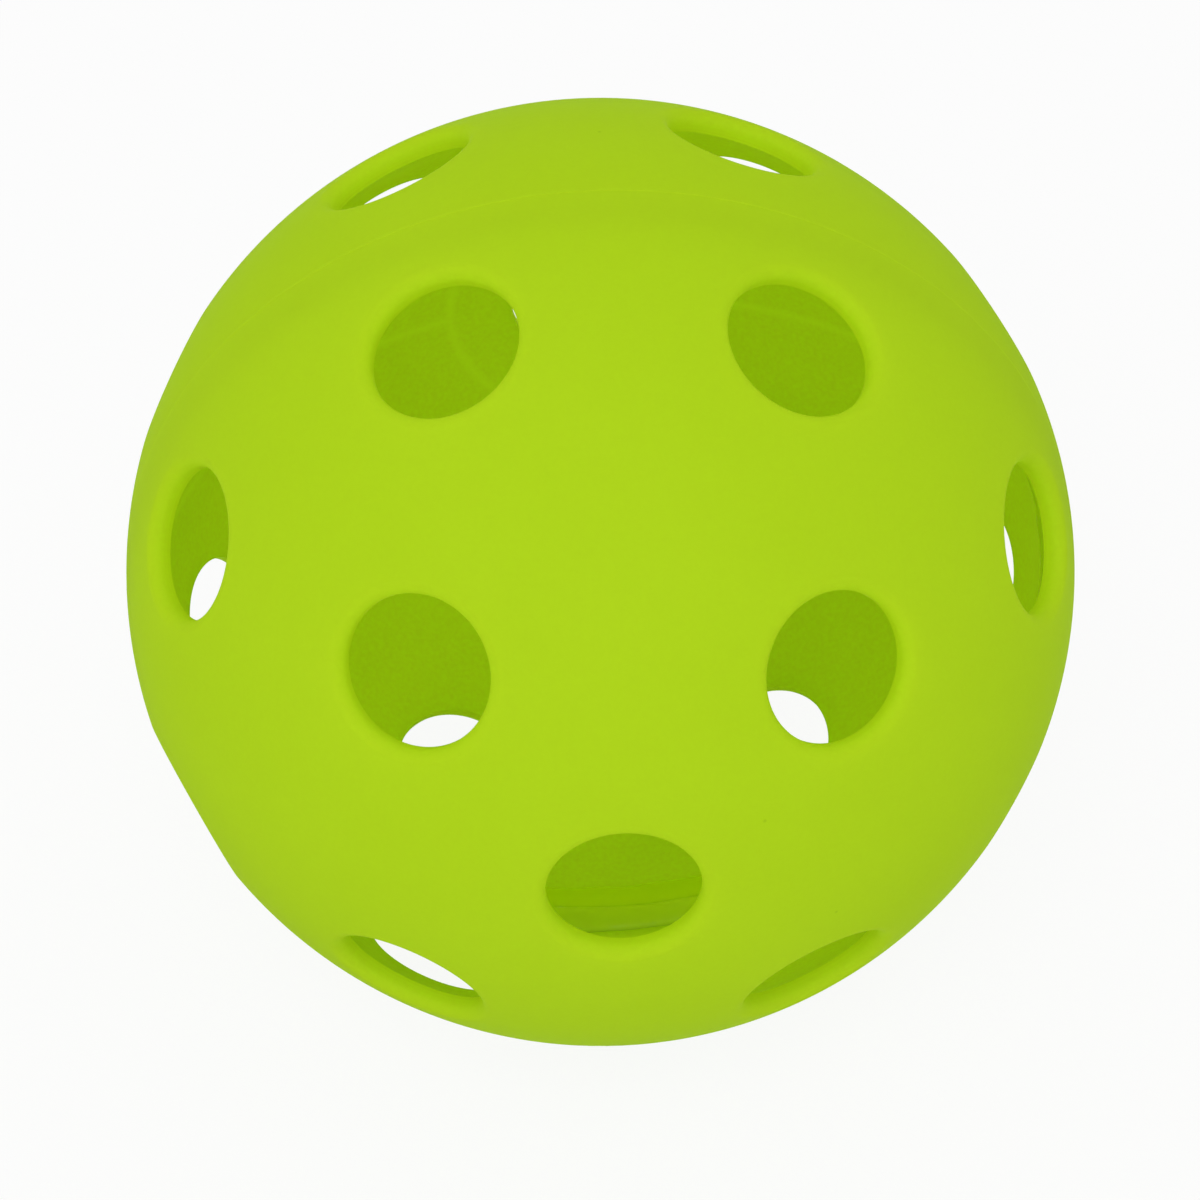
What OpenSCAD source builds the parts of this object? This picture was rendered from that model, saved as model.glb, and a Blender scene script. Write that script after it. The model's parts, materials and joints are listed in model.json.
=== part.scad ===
// Hollow perforated ball for paddle play.
// Two half shells from one mould are butt-welded rim to rim, and the weld leaves a double roll inside.
// The origin is the ball's centre. Y is the axis through both pole holes,
// and the weld lies in the plane Y = 0.

/* [Ball] */
// Outside diameter of the finished ball
ball_d = 74; // [60:0.5:90]
// Thickness of the moulded wall
wall = 1.7; // [1.5:0.1:3]

/* [Holes] */
// Diameter of every hole
hole_d = 11.5; // [8:0.1:14]
// Radius of the rounding around the outer edge of every hole
rim_r = 0.9; // [0.3:0.05:1.2]
// Angle from the pole to the ring of four holes
inner_ring_angle = 36.8; // [34:0.1:40]
// Angle from the pole to the ring of eight holes
outer_ring_angle = 71.2; // [69:0.1:73]

/* [Weld] */
// Turn of the rear half about the pole axis, as the two halves happened to be welded
weld_turn = -5; // [-22.5:0.5:22.5]
// Radius of each of the bead's two rolls
roll_r = 1.2; // [0.8:0.05:1.6]
// Height of the rolls above the inner wall
roll_h = 0.9; // [0.5:0.05:1.2]
// Height of the valley between the rolls above the inner wall
valley_h = 0.35; // [0.25:0.05:0.45]
// Bevel on the outer edge of each rim, which leaves the seam line
seam_bevel = 0.1; // [0.05:0.05:0.4]

/* [Hidden] */
$fn = 256;

// Radii of the ball's outer and inner surfaces
ball_r = ball_d / 2;
inner_r = ball_r - wall;

// Each hole is drawn along its own axis, at this radius from it, out to where the rounded edge begins
hole_r = hole_d / 2;
rim_edge_r = hole_r + rim_r;
// Narrow flat between the rounded edge and the sphere, so that the two meet at a clean edge
rim_land = 0.05;
// Heights above the ball's centre at which the rounded edge ends and begins
rim_top = sqrt(ball_r ^ 2 - (rim_edge_r + rim_land) ^ 2);
rim_foot = rim_top - rim_r;
// How far a cutter runs on past the surface that it opens
overrun = 1;

// Number of holes in each ring, and the angle about the pole of the first
inner_ring_n = 4;
outer_ring_n = 8;
inner_ring_first = 180 / inner_ring_n;
outer_ring_first = 180 / outer_ring_n;
// [angle from the pole, angle about the pole] of every hole in one half but the one at the pole
HOLES = [
    for (k = [0 : inner_ring_n - 1]) [inner_ring_angle, inner_ring_first + k * 360 / inner_ring_n],
    for (k = [0 : outer_ring_n - 1]) [outer_ring_angle, outer_ring_first + k * 360 / outer_ring_n],
];

// Distance of each roll's centre from the ball's centre, measured along the weld plane
roll_centre_r = inner_r - roll_h + roll_r;
// Distance of each roll's centre from the weld plane, at which the two rolls cross at the valley's height
roll_offset = sqrt(roll_r ^ 2 - (roll_centre_r - inner_r + valley_h) ^ 2);

plastic_green = [0.67, 0.82, 0.14];
bead_green = [0.6, 0.76, 0.12];

// Section of what is cut away for one hole: a straight bore that opens into a rounded edge
module hole_section() {
    square([hole_r, rim_foot]);
    difference() {
        translate([0, rim_foot])
            square([rim_edge_r, rim_r]);
        translate([rim_edge_r, rim_foot])
            circle(r = rim_r);
    }
    translate([0, rim_top])
        square([rim_edge_r + rim_land + overrun, ball_r - rim_top + overrun]);
}

// Half of the ball's wall in section, from the pole hole on the Y axis to the rim on the X axis,
// with the bevel at the rim's outer corner
module wall_section() {
    difference() {
        intersection() {
            circle(r = ball_r);
            square(ball_r);
        }
        circle(r = inner_r);
        hole_section();
        translate([ball_r, 0])
            rotate(45)
                square(seam_bevel * sqrt(2), center = true);
    }
}

// One moulding with its pole on +Z and its rim on Z = 0
module half_shell() {
    difference() {
        rotate_extrude()
            wall_section();
        for (hole = HOLES)
            rotate([0, hole[0], hole[1]])
                rotate_extrude()
                    hole_section();
    }
}

module front_half_shell() {
    color(plastic_green)
        rotate([90, 0, 0])
            half_shell();
}

module rear_half_shell() {
    color(plastic_green)
        rotate([0, weld_turn, 0])
            rotate([-90, 0, 0])
                half_shell();
}

// Two rolls side by side on the inner wall, with the weld line in the valley between them
module weld_bead() {
    color(bead_green)
        rotate([90, 0, 0])
            rotate_extrude()
                intersection() {
                    circle(r = inner_r);
                    for (side = [-1, 1])
                        translate([roll_centre_r, side * roll_offset])
                            circle(r = roll_r);
                }
}

front_half_shell();
rear_half_shell();
weld_bead();
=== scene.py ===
"""Looks of a hollow perforated ball: two moulded half shells, joined by the weld's rolls inside."""

import json
import math

import bpy
import numpy as np
from mathutils import Matrix, Vector


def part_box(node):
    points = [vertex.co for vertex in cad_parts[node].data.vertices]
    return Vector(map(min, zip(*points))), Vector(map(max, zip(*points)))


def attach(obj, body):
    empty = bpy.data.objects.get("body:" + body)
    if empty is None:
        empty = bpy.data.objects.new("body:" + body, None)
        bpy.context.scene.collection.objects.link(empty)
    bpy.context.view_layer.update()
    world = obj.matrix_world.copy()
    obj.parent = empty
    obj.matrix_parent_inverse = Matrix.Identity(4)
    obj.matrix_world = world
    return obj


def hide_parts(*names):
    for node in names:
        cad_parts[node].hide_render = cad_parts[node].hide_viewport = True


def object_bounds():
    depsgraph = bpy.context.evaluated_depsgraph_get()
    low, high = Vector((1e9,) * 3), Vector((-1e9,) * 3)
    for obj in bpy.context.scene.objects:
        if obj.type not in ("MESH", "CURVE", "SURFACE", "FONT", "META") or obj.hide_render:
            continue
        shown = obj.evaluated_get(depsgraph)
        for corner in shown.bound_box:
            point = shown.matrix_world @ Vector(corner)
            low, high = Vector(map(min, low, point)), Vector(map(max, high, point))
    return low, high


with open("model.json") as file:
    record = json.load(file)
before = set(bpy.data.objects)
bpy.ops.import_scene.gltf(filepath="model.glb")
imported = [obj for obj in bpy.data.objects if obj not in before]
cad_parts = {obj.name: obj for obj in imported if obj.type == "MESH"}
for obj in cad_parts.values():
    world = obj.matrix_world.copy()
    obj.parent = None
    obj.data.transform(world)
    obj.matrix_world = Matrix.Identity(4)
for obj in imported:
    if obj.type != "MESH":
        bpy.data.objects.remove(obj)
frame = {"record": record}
cad_low, cad_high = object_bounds()
bead_low, bead_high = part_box("weld_bead")
mounts = {mount["name"]: mount for mount in frame["record"]["mounts"]}

MM = 0.001

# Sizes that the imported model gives
BALL_R = (cad_high.x - cad_low.x) / 2
INNER_R = (bead_high.x - bead_low.x) / 2
HOLE_R = mounts["front_pole_hole"]["dims"]["r_mm"] * MM

# The mould's pattern of holes: angles from the pole, and how many share each ring
INNER_RING_ANGLE = math.radians(36.8)
OUTER_RING_ANGLE = math.radians(71.2)
INNER_RING_N = 4
OUTER_RING_N = 2 * INNER_RING_N

# Edges of a moulding: round the outside of each hole, round its inside, and along the rim
RIM_R = 0.9 * MM
BORE_EDGE_R = 0.12 * MM
SEAM_BEVEL = 0.015 * MM
# How far each rim stops short of the weld plane, because two faces in one place render dark
RIM_GAP = 0.005 * MM

# How far the rear half is turned about the pole axis
WELD_TURN = math.radians(-5)

# The weld's rolls, on the rear half and on the front: radius, and height above the inner wall
REAR_ROLL_R = 4.0 * MM
REAR_ROLL_H = 0.22 * MM
FRONT_ROLL_R = 1.7 * MM
FRONT_ROLL_H = 1.0 * MM
# The valley between the rolls: its height above the inner wall, its mean place along Y,
# and how far it strays to either side of that round the ring
VALLEY_H = 0.06 * MM
VALLEY_Y = -0.8 * MM
VALLEY_SWAY = 0.8 * MM
# How deep the rolls are sunk into the wall that they are welded to
ROLL_SINK = 0.1 * MM

# How much the rolls' radius and height and the valley's place wander round the ring,
# and how many times to the turn each of the waves comes that add up to it
WANDER_SEED = 26
ROLL_R_WANDER = 0.12
ROLL_R_WAVES = [3, 7, 13, 31]
ROLL_H_WANDER = 0.25
ROLL_H_WAVES = [2, 5, 11, 29, 53]
VALLEY_WANDER = 0.12 * MM
VALLEY_WAVES = [3, 4, 9]
# Least size of a wave, as a share of the largest
LEAST_WAVE = 0.5

# Fineness of the meshes
CELL_SPACING = 0.8 * MM
OUTER_ROWS = 12
RIM_ROWS = 9
BORE_ROWS = 3
BORE_EDGE_ROWS = 3
INNER_ROWS = 9
ROLL_COLUMNS = 720
ROLL_ROWS = 12
# Power that draws the rows on both spheres together towards a hole
ROW_CROWDING = 1.4
# Decimals of a millimetre to which points agree that are merged
MERGE_DECIMALS = 5
# Angle between two faces from which their edge is drawn sharp
SHARP_ANGLE = math.radians(40)

# Colours of the plastic: outside, its cloudy and grainy shades, and inside
SHELL_COLOUR = (0.578, 0.828, 0.022)
SHELL_SHADE = (0.561, 0.808, 0.02)
GRAIN_SHADE = (0.5, 0.72, 0.016)
INNER_COLOUR = (0.565, 0.895, 0.02)
# How light each moulding is
FRONT_TONE = 1
REAR_TONE = 0.996
# Colour and share of the light that the wall lets through
THROUGH_COLOUR = (0.9, 0.97, 0.1)
THROUGH_SHARE = 0.4
# How close to the weld plane the rim's face lies, which only passes light on
WELD_SKIN = 0.01 * MM

# Pale marks in the plastic
MARK_COLOUR = (0.65, 0.99, 0.03)
# Marks that the mould's core left inside: a ring round the pole, and a line that runs out from it
# on two sides, with the reach of each to either side of its middle, and their strength
CORE_RING_R = 10.9 * MM
CORE_RING_Y = math.sqrt(INNER_R ** 2 - CORE_RING_R ** 2)
CORE_MARK_HALF_W = 0.6 * MM
CORE_RING_HALF_Y = CORE_MARK_HALF_W * CORE_RING_R / INNER_R
CORE_MARK_SHARE = 0.6
# The seam's line outside: its strength, and how far it reaches to either side
SEAM_SHARE = 0.12
SEAM_HALF_W = 0.3 * MM

# Specks of grit in the plastic, by the pixels at which the photograph shows them
SPECK_COLOUR = (0.36, 0.6, 0.01)
SPECKS_PX = [(599.5, 132), (765, 821), (836.5, 912)]
SPECK_R = 0.2 * MM

# Painted shade that darkens the bores deeper down, and the depths below the outside at which it begins and
# is full
BORE_PAINTED_SHADE = (0.48, 0.74, 0.005)
BORE_FROM = 0.7 * MM
BORE_FULL = 1.5 * MM
# Pitch of the fine lines in that painted shade, its strength between them, and how far above the inner
# wall it ends
BORE_LINE_PITCH = 0.28 * MM
BORE_LINE_LOW = 0.65
BORE_END = 0.03 * MM

# Colour of the weld's melt, and of the painted shade in its creases
WELD_COLOUR = (0.85, 0.98, 0.05)
CREASE_PAINTED_SHADE = (0.35, 0.55, 0.01)
# Colour of the light that the weld lets through, and its share in the melt and in the creases, where the
# lower share is part of the painted shade
WELD_THROUGH_COLOUR = (0.99, 1, 0.35)
WELD_THROUGH_SHARE = 0.97
PAINTED_SHADE_THROUGH_SHARE = 0.45
# Width of the painted shade to either side of the valley, and height of the painted shade at the front
# roll's foot
VALLEY_SHADE_HALF_W = 0.4 * MM
FOOT_SHADE_H = 0.4 * MM

# Noise in the materials, as features to the metre and levels of finer detail: clouds of tone,
# flecks of shade, orange peel and grain of the surface, and ripples in the melt
CLOUDS = (110, 3)
FLECKS = (2600, 3)
PEEL = (900, 2)
GRAIN = (4500, 3)
RIPPLES = (1400, 3)
# Range in which nearly all values of a noise lie
NOISE_RANGE = (0.25, 0.75)
# Strength of the flecks where they are full, and how full they are outside and inside
FLECK_SHARE = 0.8
OUTER_FLECKS = 0.35
INNER_FLECKS = 1.0
# Depths of the peel, the grain and the ripples
PEEL_DEPTH = 0.006 * MM
GRAIN_DEPTH = 0.008 * MM
RIPPLE_DEPTH = 0.05 * MM
# Range of roughness, and level of gloss, of the moulded plastic and of the melt
SHELL_ROUGHNESS = (0.5, 0.62)
SHELL_GLOSS = 0.02
WELD_ROUGHNESS = (0.08, 0.2)
WELD_GLOSS = 0.5

# Where the camera stands: distance from the ball's centre, turn from the -Y axis, height and roll
CAMERA_DISTANCE = 10.85 * BALL_R
CAMERA_AZIMUTH = math.radians(-4.37)
CAMERA_ELEVATION = math.radians(40.44)
CAMERA_ROLL = math.radians(2.44)
# The photograph's frame, and the ball's outline in it
FRAME_PX = 1200
OUTLINE_R_PX = 474.2
OUTLINE_X_PX = 600.46
OUTLINE_Y_PX = 572.15
# Focal length at which the ball's outline has its radius
FOCAL_PX = OUTLINE_R_PX * math.sqrt((CAMERA_DISTANCE / BALL_R) ** 2 - 1)
SENSOR_MM = 36
# Nearest and furthest that the camera sees, in metres
CLIP_START = 0.01
CLIP_END = 50

# The floor: half its side in metres, its colour, roughness and faint glow,
# and how much of what the camera sees of it is plain white
FLOOR_HALF = 3.0
FLOOR_COLOUR = (0.9, 0.9, 0.9, 1)
FLOOR_ROUGHNESS = 0.9
FLOOR_GLOW = 0.02
FLOOR_WHITE_SHARE = 0.9
# Strength of the light from all round, and how much of what the camera sees of it is plain white
WORLD_STRENGTH = 0.65
WORLD_WHITE_SHARE = 1.0
# The panel of light: its distance in metres from the ball towards the camera, to the right and up,
# the length of its side, and its power
KEY_BACK = 1.15
KEY_RIGHT = -0.15
KEY_UP = 0.15
KEY_SIZE = 0.5
KEY_POWER = 3.6
WHITE = (1, 1, 1, 1)


def direction(from_pole, about_pole):
    """Unit vector at an angle from the pole, which is +Z, and an angle about it, counted from +X."""
    ring = math.sin(from_pole)
    return np.array([ring * math.cos(about_pole), ring * math.sin(about_pole), math.cos(from_pole)])


def ring_of(from_pole, count, first):
    """Directions spread evenly about the pole: the angle about it grows by a whole turn over the count."""
    return [direction(from_pole, first + k * 2 * math.pi / count) for k in range(count)]


def equidistant(a, b, c):
    """Direction that is as far from each of three others: the normal of the plane through their tips."""
    normal = np.cross(b - a, c - a)
    return normal * np.sign(normal @ a) / np.linalg.norm(normal)


def arc(start, end):
    """Great-circle arc, without its end.

    The start is weighted by the sine of the angle still to go, and the end by that of the angle gone.
    """
    whole = math.acos(start @ end)
    steps = round(whole * BALL_R / CELL_SPACING)
    gone = np.linspace(0, whole, steps, endpoint=False)[:, None]
    return (np.sin(whole - gone) * start + np.sin(gone) * end) / math.sin(whole)


def outline(corners):
    """Closed loop of great-circle arcs from corner to corner."""
    return np.concatenate([arc(a, b) for a, b in zip(corners, corners[1:] + corners[:1])])


def hole_cells():
    """Hole directions of one moulding, each with the loop around its cell, and the loop of the rim.

    A hole's cell is all that lies nearer to it than to another hole. The corners of the cells are the
    directions equidistant from three neighbouring holes, and the last row of cells ends at the rim.
    """
    pole = direction(0, 0)
    inner = ring_of(INNER_RING_ANGLE, INNER_RING_N, math.pi / INNER_RING_N)
    outer = ring_of(OUTER_RING_ANGLE, OUTER_RING_N, math.pi / OUTER_RING_N)
    rim = ring_of(math.pi / 2 - math.asin(SEAM_BEVEL / BALL_R), OUTER_RING_N, 0)
    near = [equidistant(pole, inner[k - 1], inner[k]) for k in range(INNER_RING_N)]
    middle = [equidistant(inner[k - 1], inner[k], outer[2 * k]) for k in range(INNER_RING_N)]
    far = [equidistant(inner[k], outer[2 * k], outer[2 * k + 1]) for k in range(INNER_RING_N)]
    cells = [(pole, outline(near))]
    for k in range(INNER_RING_N):
        after = (k + 1) % INNER_RING_N
        rim_after = (2 * k + 2) % OUTER_RING_N
        cells += [
            (inner[k], outline([near[k], middle[k], far[k], middle[after], near[after]])),
            (outer[2 * k], outline([middle[k], rim[2 * k], rim[2 * k + 1], far[k]])),
            (outer[2 * k + 1], outline([far[k], rim[2 * k + 1], rim[rim_after], middle[after]])),
        ]
    return cells, outline(rim)


def wall_around_hole(axis, loop):
    """Wall between a hole and the loop around its cell, as a grid of section rows by loop points.

    Every loop point has the same section in the plane through the hole's axis, in distance from the axis
    and height along it: down the outer sphere to the hole, round the rim's arc, which touches both the
    sphere and the bore, along the bore, round the bore's inner edge and back up the inner sphere.
    """
    height = loop @ axis
    across = loop - height[:, None] * axis
    reach = np.linalg.norm(across, axis=1)
    away = across / reach[:, None]
    span = np.arctan2(reach, height)

    rim_x = HOLE_R + RIM_R
    rim_z = math.sqrt((BALL_R - RIM_R) ** 2 - rim_x ** 2)
    rim_angle = math.atan2(rim_x, rim_z)
    edge_x = HOLE_R + BORE_EDGE_R
    edge_z = math.sqrt((INNER_R + BORE_EDGE_R) ** 2 - edge_x ** 2)
    edge_angle = math.atan2(edge_x, edge_z)

    down = np.linspace(1, 0, OUTER_ROWS, endpoint=False)[:, None] ** ROW_CROWDING
    outer_angle = rim_angle + (span - rim_angle) * down
    rim_turn = np.linspace(rim_angle, -math.pi / 2, RIM_ROWS)[:, None]
    bore_z = np.linspace(rim_z, edge_z, BORE_ROWS + 1, endpoint=False)[1:, None]
    edge_turn = np.linspace(-math.pi / 2, edge_angle - math.pi, BORE_EDGE_ROWS)[:, None]
    up = np.linspace(0, 1, INNER_ROWS + 1)[1:, None] ** ROW_CROWDING
    inner_angle = edge_angle + (span - edge_angle) * up

    same = np.ones_like(span)
    from_axis = np.concatenate([
        BALL_R * np.sin(outer_angle),
        (rim_x + RIM_R * np.sin(rim_turn)) * same,
        np.full_like(bore_z, HOLE_R) * same,
        (edge_x + BORE_EDGE_R * np.sin(edge_turn)) * same,
        INNER_R * np.sin(inner_angle),
    ])
    along_axis = np.concatenate([
        BALL_R * np.cos(outer_angle),
        (rim_z + RIM_R * np.cos(rim_turn)) * same,
        bore_z * same,
        (edge_z + BORE_EDGE_R * np.cos(edge_turn)) * same,
        INNER_R * np.cos(inner_angle),
    ])
    return from_axis[..., None] * away + along_axis[..., None] * axis


def rim_face(loop):
    """Face of the rim, as a grid of four rows by loop points.

    It runs from the inner sphere down to the gap at the weld plane, across it and up the outer bevel.
    """
    level = loop * [1, 1, 0]
    level = level / np.linalg.norm(level, axis=1)[:, None]
    gap = np.array([0, 0, RIM_GAP])
    return np.stack([
        INNER_R * loop,
        INNER_R * level + gap,
        (BALL_R - SEAM_BEVEL) * level + gap,
        BALL_R * loop,
    ])


def weld_rolls():
    """Ring of two rolls about the Y axis, as a grid of section rows by angles about the axis.

    The section is two circles that cross at the valley's height, closed behind by a line sunk in the wall.
    The rolls' radius, height and place wander round the ring as sums of a few waves.
    """
    turn = np.linspace(0, 2 * math.pi, ROLL_COLUMNS, endpoint=False)
    rng = np.random.default_rng(WANDER_SEED)

    def wander(size, waves):
        """Mean of waves of random phase and size, each of them a whole number to the turn."""
        phase = rng.uniform(0, 2 * math.pi, len(waves))
        shares = rng.uniform(LEAST_WAVE, 1, len(waves))
        return size * np.mean(shares * np.cos(np.outer(turn, waves) + phase), axis=1)

    sections_y, sections_r = [], []
    for side, mean_r, mean_h in ((1, REAR_ROLL_R, REAR_ROLL_H), (-1, FRONT_ROLL_R, FRONT_ROLL_H)):
        radius = mean_r * (1 + wander(ROLL_R_WANDER, ROLL_R_WAVES))
        height = mean_h * (1 + wander(ROLL_H_WANDER, ROLL_H_WAVES))
        centre_r = INNER_R - height + radius
        offset = np.sqrt(radius ** 2 - (radius - height + VALLEY_H) ** 2)
        foot = np.arccos((radius - height - ROLL_SINK) / radius)
        valley = np.arcsin(offset / radius)
        share = np.linspace(0, 1, ROLL_ROWS)[:, None]
        slope = foot - (foot + valley) * share
        rows_y = side * (offset + radius * np.sin(slope))
        rows_r = centre_r - radius * np.cos(slope)
        sections_y.append(rows_y if side > 0 else rows_y[::-1])
        sections_r.append(rows_r if side > 0 else rows_r[::-1])
    line_y = VALLEY_Y + VALLEY_SWAY * np.sin(turn) + wander(VALLEY_WANDER, VALLEY_WAVES)
    y = np.concatenate(sections_y) + line_y
    r = np.concatenate(sections_r)
    return np.stack([r * np.cos(turn), y, r * np.sin(turn)], axis=-1)


def grid_faces(rows, columns, first, closed_rows):
    """Quads of a grid whose columns run round in a loop, and its rows too where asked."""
    last = rows if closed_rows else rows - 1
    row, column = np.meshgrid(np.arange(last), np.arange(columns), indexing="ij")
    next_row = (row + 1) % rows
    next_column = (column + 1) % columns
    corners = [(row, column), (row, next_column), (next_row, next_column), (next_row, column)]
    return first + np.stack([r * columns + c for r, c in corners], axis=-1).reshape(-1, 4)


def add_object(name, data):
    """New object in the scene, of the mesh, camera or light given."""
    item = bpy.data.objects.new(name, data)
    bpy.context.scene.collection.objects.link(item)
    return item


def add_piece(name, grids, material, closed_rows=False):
    """One mesh of the grids, with the points that they share merged."""
    points, faces, count = [], [], 0
    for grid in grids:
        rows, columns = grid.shape[:2]
        points.append(grid.reshape(-1, 3))
        faces.append(grid_faces(rows, columns, count, closed_rows))
        count += rows * columns
    points = np.concatenate(points)
    faces = np.concatenate(faces)
    rounded = np.round(points / MM, MERGE_DECIMALS) + 0.0
    kept, index = np.unique(rounded, axis=0, return_inverse=True)
    mesh = bpy.data.meshes.new(name)
    mesh.from_pydata(kept * MM, [], index.reshape(-1)[faces])
    mesh.validate()
    mesh.shade_smooth()
    mesh.set_sharp_from_angle(angle=SHARP_ANGLE)
    mesh.materials.append(material)
    return add_object(name, mesh)


def new_material(name):
    """A material with a Principled shader, its node tree, and that shader."""
    material = bpy.data.materials.new(name)
    material.use_nodes = True
    tree = material.node_tree
    return material, tree, tree.nodes["Principled BSDF"]


def noise(tree, place, scale, detail):
    """Noise on the object's own coordinates, with so many features to the metre."""
    texture = tree.nodes.new("ShaderNodeTexNoise")
    texture.inputs["Scale"].default_value = scale
    texture.inputs["Detail"].default_value = detail
    tree.links.new(place, texture.inputs["Vector"])
    return texture.outputs["Fac"]


def ramp(tree, value, start, end, low, high):
    """Maps a value that runs from start to end onto the range from low to high, and holds it beyond."""
    mapping = tree.nodes.new("ShaderNodeMapRange")
    mapping.inputs["From Min"].default_value = start
    mapping.inputs["From Max"].default_value = end
    mapping.inputs["To Min"].default_value = low
    mapping.inputs["To Max"].default_value = high
    tree.links.new(value, mapping.inputs["Value"])
    return mapping.outputs["Result"]


def spread(tree, texture, low, high):
    """Spreads a noise over the range from low to high."""
    return ramp(tree, texture, *NOISE_RANGE, low, high)


def fade(tree, distance, reach):
    """One at no distance, falling to nothing at the reach given."""
    return ramp(tree, distance, 0, reach, 1, 0)


def bump(tree, height, distance, before=None):
    """Bump of a height in metres, on top of the one before."""
    node = tree.nodes.new("ShaderNodeBump")
    node.inputs["Distance"].default_value = distance
    tree.links.new(height, node.inputs["Height"])
    if before is not None:
        tree.links.new(before, node.inputs["Normal"])
    return node.outputs["Normal"]


def calc(tree, operation, *operands):
    """Result of a Math node, whose operands are sockets or numbers."""
    node = tree.nodes.new("ShaderNodeMath")
    node.operation = operation
    for socket, operand in zip(node.inputs, operands):
        if isinstance(operand, (int, float)):
            socket.default_value = operand
        else:
            tree.links.new(operand, socket)
    return node.outputs["Value"]


def measure(tree, operation, place, other):
    """Distance of a place from a point, or its dot product with a direction."""
    node = tree.nodes.new("ShaderNodeVectorMath")
    node.operation = operation
    node.inputs[1].default_value = other
    tree.links.new(place, node.inputs[0])
    return node.outputs["Value"]


def tint(tree, share, under, over):
    """Mixes a colour or a socket's colour with another colour, by the share given."""
    mix = tree.nodes.new("ShaderNodeMix")
    mix.data_type = "RGBA"
    mix.inputs["B"].default_value = (*over, 1)
    if isinstance(under, tuple):
        mix.inputs["A"].default_value = (*under, 1)
    else:
        tree.links.new(under, mix.inputs["A"])
    tree.links.new(share, mix.inputs["Factor"])
    return mix.outputs["Result"]


def core_marks(tree, place, height, across):
    """Share of the core's marks: a soft band about the ring's height, and one about the line's plane."""
    from_ring = calc(tree, "ABSOLUTE", calc(tree, "SUBTRACT", height, CORE_RING_Y))
    from_line = calc(tree, "ABSOLUTE", measure(tree, "DOT_PRODUCT", place, across))
    ring = fade(tree, from_ring, CORE_RING_HALF_Y)
    line = fade(tree, from_line, CORE_MARK_HALF_W)
    outside_ring = calc(tree, "LESS_THAN", height, CORE_RING_Y)
    return calc(tree, "MAXIMUM", ring, calc(tree, "MULTIPLY", line, outside_ring))


def painted_bore_shade(tree, from_centre):
    """Share of the painted shade in the bores, by the distance from the ball's centre.

    It grows with depth below the outside, in fine waves, and stops just above the inner wall.
    """
    depth = calc(tree, "SUBTRACT", BALL_R, from_centre)
    deep = ramp(tree, depth, BORE_FROM, BORE_FULL, 0, 1)
    wave = calc(tree, "SINE", calc(tree, "MULTIPLY", depth, 2 * math.pi / BORE_LINE_PITCH))
    lined = calc(tree, "MULTIPLY", deep, ramp(tree, wave, -1, 1, BORE_LINE_LOW, 1))
    above_wall = calc(tree, "GREATER_THAN", from_centre, INNER_R + BORE_END)
    return calc(tree, "MULTIPLY", lined, above_wall)


def specks(tree, place):
    """Share of grit: a soft dot round each speck."""
    dots = 0.0
    for pixel in SPECKS_PX:
        from_speck = measure(tree, "DISTANCE", place, seen_at(*pixel))
        dots = calc(tree, "MAXIMUM", fade(tree, from_speck, SPECK_R), dots)
    return dots


def let_through(tree, shader, colour, share):
    """Mixes a shader with one that lets light through, and gives the socket for that one's share."""
    through = tree.nodes.new("ShaderNodeBsdfTranslucent")
    through.inputs["Color"].default_value = (*colour, 1)
    mix = tree.nodes.new("ShaderNodeMixShader")
    mix.inputs["Fac"].default_value = share
    tree.links.new(shader.outputs["BSDF"], mix.inputs[1])
    tree.links.new(through.outputs["BSDF"], mix.inputs[2])
    tree.links.new(mix.outputs["Shader"], tree.nodes["Material Output"].inputs["Surface"])
    return mix.inputs["Fac"]


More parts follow.
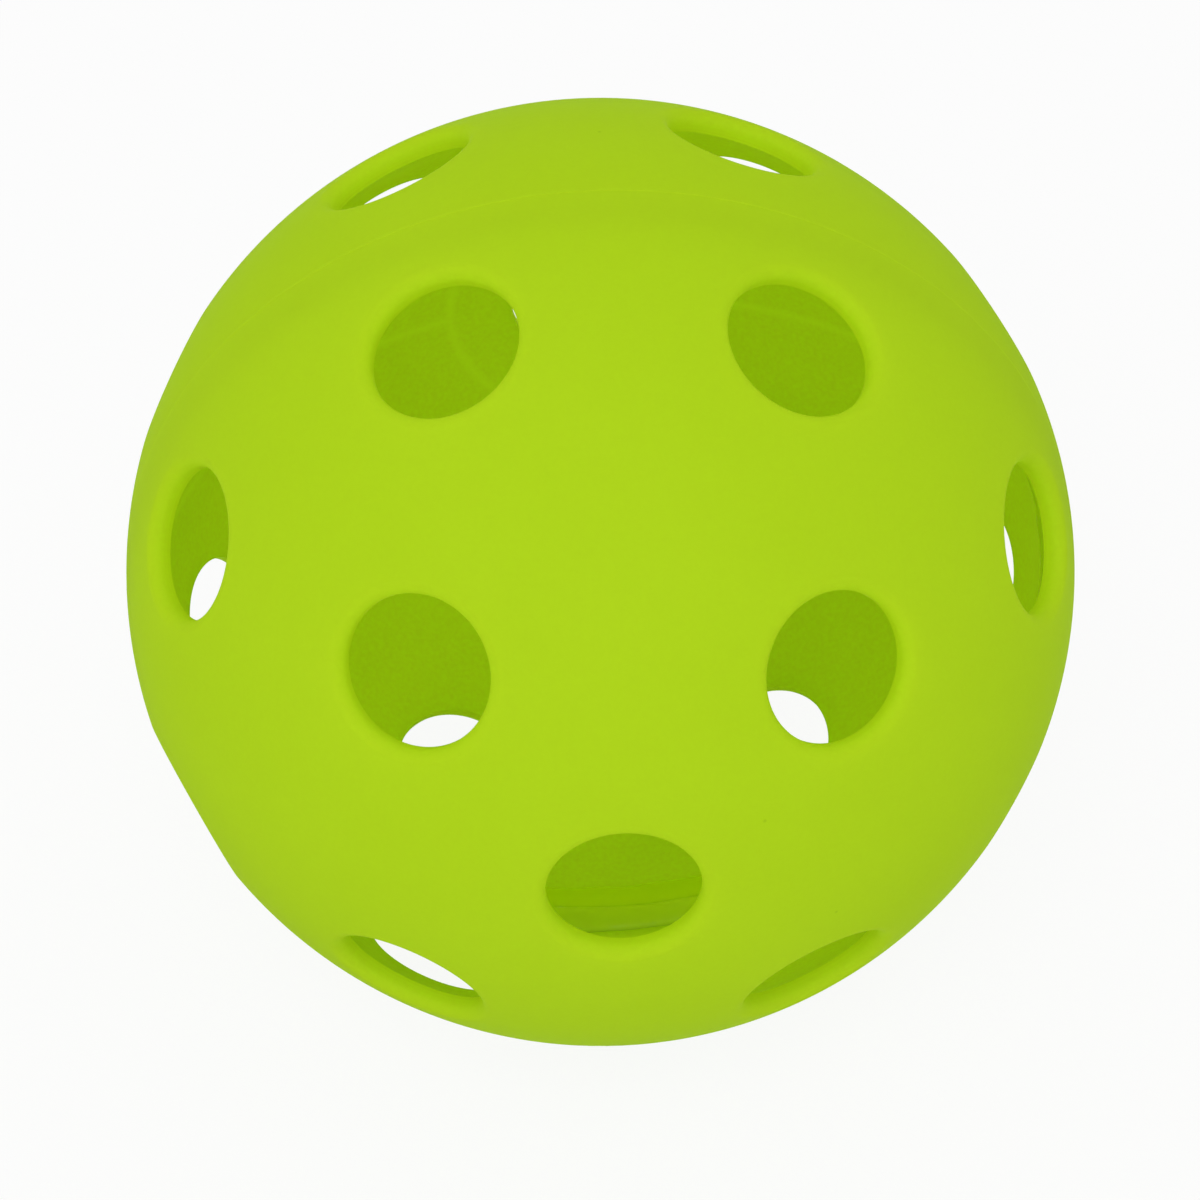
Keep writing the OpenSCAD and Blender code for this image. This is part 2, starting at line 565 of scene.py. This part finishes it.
def moulded_plastic(name, tone, across):
    """Matte moulded plastic, coloured through, which lets some light pass.

    Its tone is cloudy and flecked, with shade painted deeper in the bores, pale marks of the mould and
    specks of grit.
    Its surface has an orange peel and a fine grain. Across is the direction square to the line that the
    core left inside. The rim's face at the weld plane only passes light on.
    """
    material, tree, shader = new_material(name)
    place = tree.nodes.new("ShaderNodeTexCoord").outputs["Object"]
    grain = noise(tree, place, *GRAIN)
    from_centre = measure(tree, "DISTANCE", place, (0, 0, 0))
    height = calc(tree, "ABSOLUTE", measure(tree, "DOT_PRODUCT", place, (0, 1, 0)))
    inside = ramp(tree, from_centre, INNER_R, BALL_R, 1, 0)
    outside = calc(tree, "SUBTRACT", 1, inside)
    core = calc(tree, "MULTIPLY", core_marks(tree, place, height, across), inside)
    core = calc(tree, "MULTIPLY", core, CORE_MARK_SHARE)
    seam = calc(tree, "MULTIPLY", fade(tree, height, SEAM_HALF_W), SEAM_SHARE)
    seam = calc(tree, "MULTIPLY", seam, outside)
    flecks = spread(tree, noise(tree, place, *FLECKS), 0, FLECK_SHARE)
    flecks = calc(tree, "MULTIPLY", flecks, ramp(tree, inside, 0, 1, OUTER_FLECKS, INNER_FLECKS))

    def toned(colour):
        """The colour given, as light as this moulding is."""
        return tuple(tone * part for part in colour)

    clouds = spread(tree, noise(tree, place, *CLOUDS), 0, 1)
    colour = tint(tree, clouds, toned(SHELL_SHADE), toned(SHELL_COLOUR))
    colour = tint(tree, inside, colour, toned(INNER_COLOUR))
    # Painted shade, deeper down in the bores, with fine lines in it
    colour = tint(tree, painted_bore_shade(tree, from_centre), colour, toned(BORE_PAINTED_SHADE))
    colour = tint(tree, flecks, colour, toned(GRAIN_SHADE))
    colour = tint(tree, calc(tree, "ADD", core, seam), colour, toned(MARK_COLOUR))
    colour = tint(tree, specks(tree, place), colour, toned(SPECK_COLOUR))
    tree.links.new(colour, shader.inputs["Base Color"])
    tree.links.new(spread(tree, grain, *SHELL_ROUGHNESS), shader.inputs["Roughness"])
    soft = bump(tree, noise(tree, place, *PEEL), PEEL_DEPTH)
    tree.links.new(bump(tree, grain, GRAIN_DEPTH, soft), shader.inputs["Normal"])
    shader.inputs["Specular IOR Level"].default_value = SHELL_GLOSS
    share = let_through(tree, shader, THROUGH_COLOUR, THROUGH_SHARE)
    at_weld = calc(tree, "LESS_THAN", height, WELD_SKIN)
    tree.links.new(ramp(tree, at_weld, 0, 1, THROUGH_SHARE, 1), share)
    return material


def weld_plastic():
    """Plastic that melted and set again: glossier than the moulded wall, with ripples, and with shade
    painted into its creases.

    One painted shade lies along the valley, whose place along Y follows height, and one at the front
    roll's foot.
    """
    material, tree, shader = new_material("weld_melt_painted_shade")
    place = tree.nodes.new("ShaderNodeTexCoord").outputs["Object"]
    ripple = noise(tree, place, *RIPPLES)
    from_centre = measure(tree, "DISTANCE", place, (0, 0, 0))
    swayed = measure(tree, "DOT_PRODUCT", place, (0, 1, -VALLEY_SWAY / INNER_R))
    along = calc(tree, "SUBTRACT", swayed, VALLEY_Y)
    # Shade painted into the creases: along the valley and at the front roll's foot
    valley = fade(tree, calc(tree, "ABSOLUTE", along), VALLEY_SHADE_HALF_W)
    foot = fade(tree, calc(tree, "SUBTRACT", INNER_R, from_centre), FOOT_SHADE_H)
    on_front = calc(tree, "LESS_THAN", along, -FRONT_ROLL_R)
    painted_shade = calc(tree, "MAXIMUM", valley, calc(tree, "MULTIPLY", foot, on_front))
    tree.links.new(tint(tree, painted_shade, WELD_COLOUR, CREASE_PAINTED_SHADE), shader.inputs["Base Color"])
    tree.links.new(spread(tree, ripple, *WELD_ROUGHNESS), shader.inputs["Roughness"])
    tree.links.new(bump(tree, ripple, RIPPLE_DEPTH), shader.inputs["Normal"])
    shader.inputs["Specular IOR Level"].default_value = WELD_GLOSS
    share = let_through(tree, shader, WELD_THROUGH_COLOUR, WELD_THROUGH_SHARE)
    # Where the shade is painted, less light is let through too
    tree.links.new(ramp(tree, painted_shade, 0, 1, WELD_THROUGH_SHARE, PAINTED_SHADE_THROUGH_SHARE), share)
    return material


def white_to_camera(tree, lit, white, share, output):
    """Sends a lit shader to the output, mixed with plain white for the camera, mirrors and glass."""
    path = tree.nodes.new("ShaderNodeLightPath")
    seen = path.outputs["Is Camera Ray"]
    for ray in ("Is Glossy Ray", "Is Transmission Ray"):
        seen = calc(tree, "MAXIMUM", seen, path.outputs[ray])
    mix = tree.nodes.new("ShaderNodeMixShader")
    tree.links.new(calc(tree, "MULTIPLY", seen, share), mix.inputs["Fac"])
    tree.links.new(lit, mix.inputs[1])
    tree.links.new(white, mix.inputs[2])
    tree.links.new(mix.outputs["Shader"], tree.nodes[output].inputs["Surface"])


def add_floor():
    """Plain pale floor under the ball, white to the camera apart from the ball's faint shadow."""
    sides = ((-1, -1), (1, -1), (1, 1), (-1, 1))
    corners = [(FLOOR_HALF * x, FLOOR_HALF * y, cad_low.z) for x, y in sides]
    mesh = bpy.data.meshes.new("floor")
    mesh.from_pydata(corners, [], [(0, 1, 2, 3)])
    material, tree, shader = new_material("floor_paper")
    shader.inputs["Base Color"].default_value = FLOOR_COLOUR
    shader.inputs["Roughness"].default_value = FLOOR_ROUGHNESS
    shader.inputs["Emission Color"].default_value = WHITE
    shader.inputs["Emission Strength"].default_value = FLOOR_GLOW
    glow = tree.nodes.new("ShaderNodeEmission")
    glow.inputs["Color"].default_value = WHITE
    white_to_camera(tree, shader.outputs["BSDF"], glow.outputs["Emission"], FLOOR_WHITE_SHARE,
                    "Material Output")
    mesh.materials.append(material)
    floor = add_object("floor", mesh)


def add_world():
    """Even pale light from all round, and a white background."""
    world = bpy.data.worlds.new("studio")
    world.use_nodes = True
    tree = world.node_tree
    light = tree.nodes["Background"]
    light.inputs["Color"].default_value = WHITE
    light.inputs["Strength"].default_value = WORLD_STRENGTH
    white = tree.nodes.new("ShaderNodeBackground")
    white.inputs["Color"].default_value = WHITE
    white_to_camera(tree, light.outputs["Background"], white.outputs["Background"], WORLD_WHITE_SHARE,
                    "World Output")
    bpy.context.scene.world = world


def camera_axes():
    """Right, up and back axes of the camera: back points from the ball to where it stands."""
    level = math.cos(CAMERA_ELEVATION)
    back = Vector((
        level * math.sin(CAMERA_AZIMUTH),
        -level * math.cos(CAMERA_AZIMUTH),
        math.sin(CAMERA_ELEVATION),
    ))
    right = Vector((0, 0, 1)).cross(back).normalized()
    up = back.cross(right)
    turned = right * math.cos(CAMERA_ROLL) + up * math.sin(CAMERA_ROLL)
    return turned, back.cross(turned), back


def seen_at(x_px, y_px):
    """Point of the ball that the camera sees at a pixel: where the pixel's ray first meets the sphere."""
    right, up, back = camera_axes()
    start = back * CAMERA_DISTANCE
    aside = (x_px - OUTLINE_X_PX) / FOCAL_PX
    below = (y_px - OUTLINE_Y_PX) / FOCAL_PX
    ray = (right * aside - up * below - back).normalized()
    ahead = -start.dot(ray)
    return start + ray * (ahead - math.sqrt(ahead ** 2 - CAMERA_DISTANCE ** 2 + BALL_R ** 2))


def add_camera():
    """Camera at its place, with the outline's focal length, aimed to put the outline's centre right."""
    right, up, back = camera_axes()
    place = back * CAMERA_DISTANCE
    aside = (OUTLINE_X_PX - FRAME_PX / 2) / FOCAL_PX
    above = (FRAME_PX / 2 - OUTLINE_Y_PX) / FOCAL_PX
    back = (back + right * aside + up * above).normalized()
    right = up.cross(back).normalized()
    up = back.cross(right)
    data = bpy.data.cameras.new("camera")
    data.sensor_width = SENSOR_MM
    data.lens = SENSOR_MM * FOCAL_PX / FRAME_PX
    data.clip_start = CLIP_START
    data.clip_end = CLIP_END
    camera = add_object("camera", data)
    camera.matrix_world = Matrix((right, up, back)).transposed().to_4x4()
    camera.location = place
    bpy.context.scene.camera = camera


def add_key_panel():
    """Square soft panel of light near the camera, facing the ball."""
    right, up, back = camera_axes()
    place = back * KEY_BACK + right * KEY_RIGHT + up * KEY_UP
    data = bpy.data.lights.new("key", "AREA")
    data.size = KEY_SIZE
    data.energy = KEY_POWER
    panel = add_object("key", data)
    panel.rotation_euler = place.to_track_quat("Z", "Y").to_euler()
    panel.location = place


cells, rim_loop = hole_cells()
moulding = [wall_around_hole(axis, loop) for axis, loop in cells] + [rim_face(rim_loop)]
to_front = np.array(Matrix.Rotation(math.pi / 2, 3, "X"))
to_rear = np.array(Matrix.Rotation(WELD_TURN, 3, "Y") @ Matrix.Rotation(-math.pi / 2, 3, "X"))
front_plastic = moulded_plastic("front_shell_plastic", FRONT_TONE, to_front[:, 1])
rear_plastic = moulded_plastic("rear_shell_plastic", REAR_TONE, to_rear[:, 1])

front_shell = add_piece("front_shell", [grid @ to_front.T for grid in moulding], front_plastic)
rear_shell = add_piece("rear_shell", [grid @ to_rear.T for grid in moulding], rear_plastic)
rolls = add_piece("weld_rolls", [weld_rolls()], weld_plastic(), closed_rows=True)

for piece, node, slot in (
    (front_shell, "front_half_shell", "shell_plastic"),
    (rear_shell, "rear_half_shell", "shell_plastic"),
    (rolls, "weld_bead", "weld_plastic"),
):
    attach(piece, "root")
    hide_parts(node)

add_floor()
add_world()
add_camera()
add_key_panel()
bpy.context.scene.view_settings.view_transform = "Standard"
